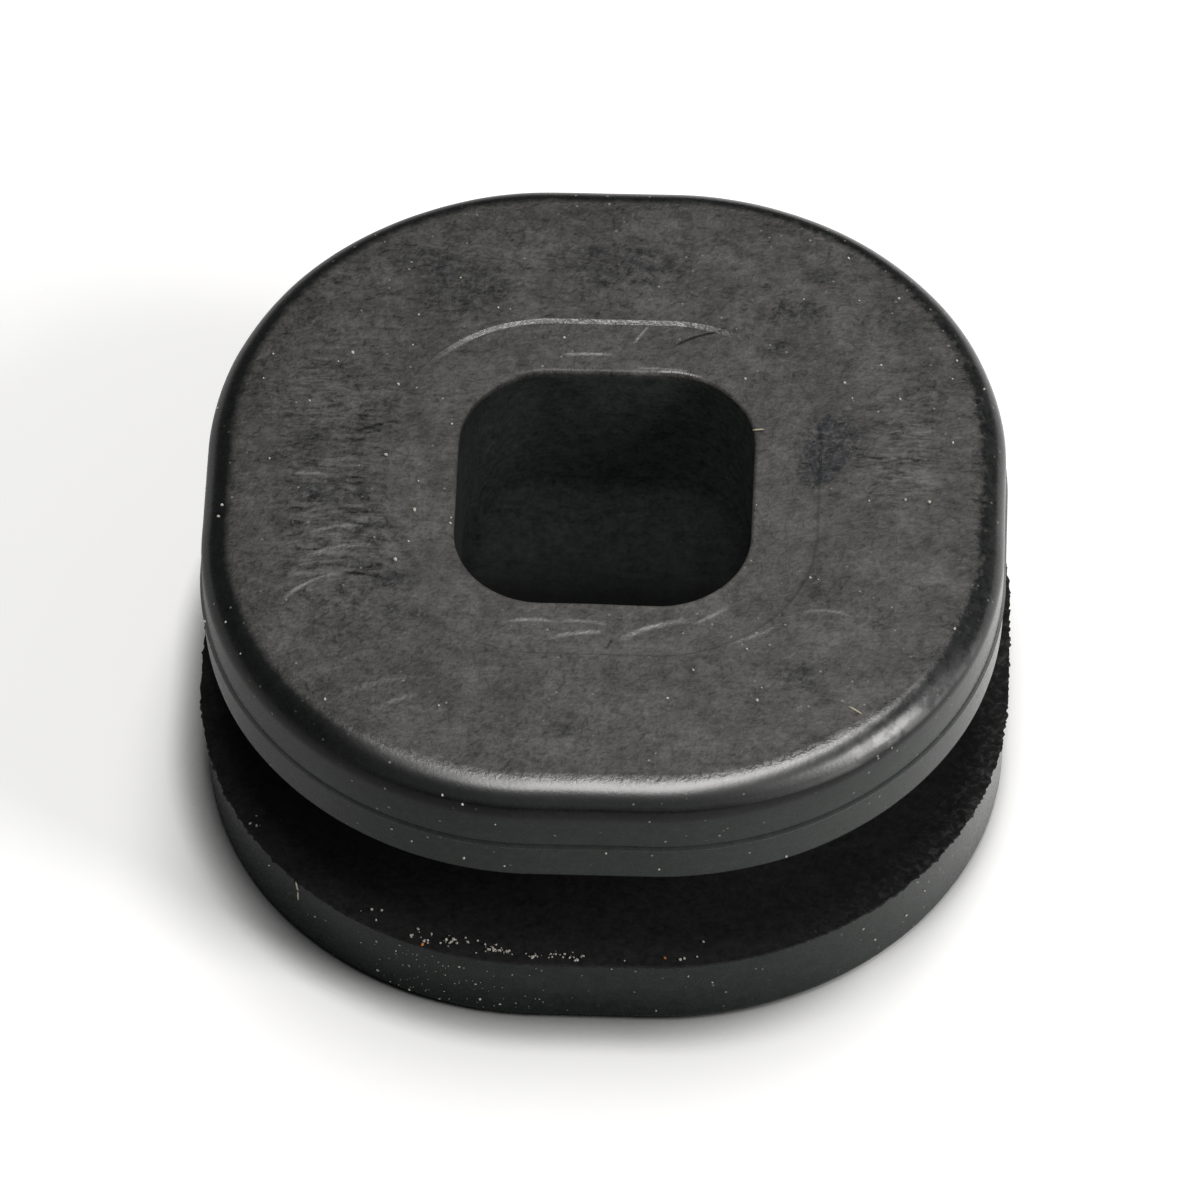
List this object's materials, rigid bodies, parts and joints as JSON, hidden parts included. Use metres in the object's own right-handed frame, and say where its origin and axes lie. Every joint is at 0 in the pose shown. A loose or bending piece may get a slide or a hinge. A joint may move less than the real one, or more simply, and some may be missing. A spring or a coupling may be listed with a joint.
{
  "type": "rubber grommet",
  "caption": "Square rubber grommet with round corners, two flanges, a groove for a panel edge and a square blind hole in its top.",
  "frame": {"origin": "middle of the lower flange's underside, on the axis of the hole", "axes": "+Z along the hole from the lower flange to the upper flange, X and Y square to the flat sides"},
  "size_m": [0.0204, 0.0204, 0.0087],
  "materials": {
    "rubber": "satin moulded, slightly chalky, with dust"
  },
  "bodies": {
    "root": {"grommet": "rubber"}
  },
  "joints": []
}
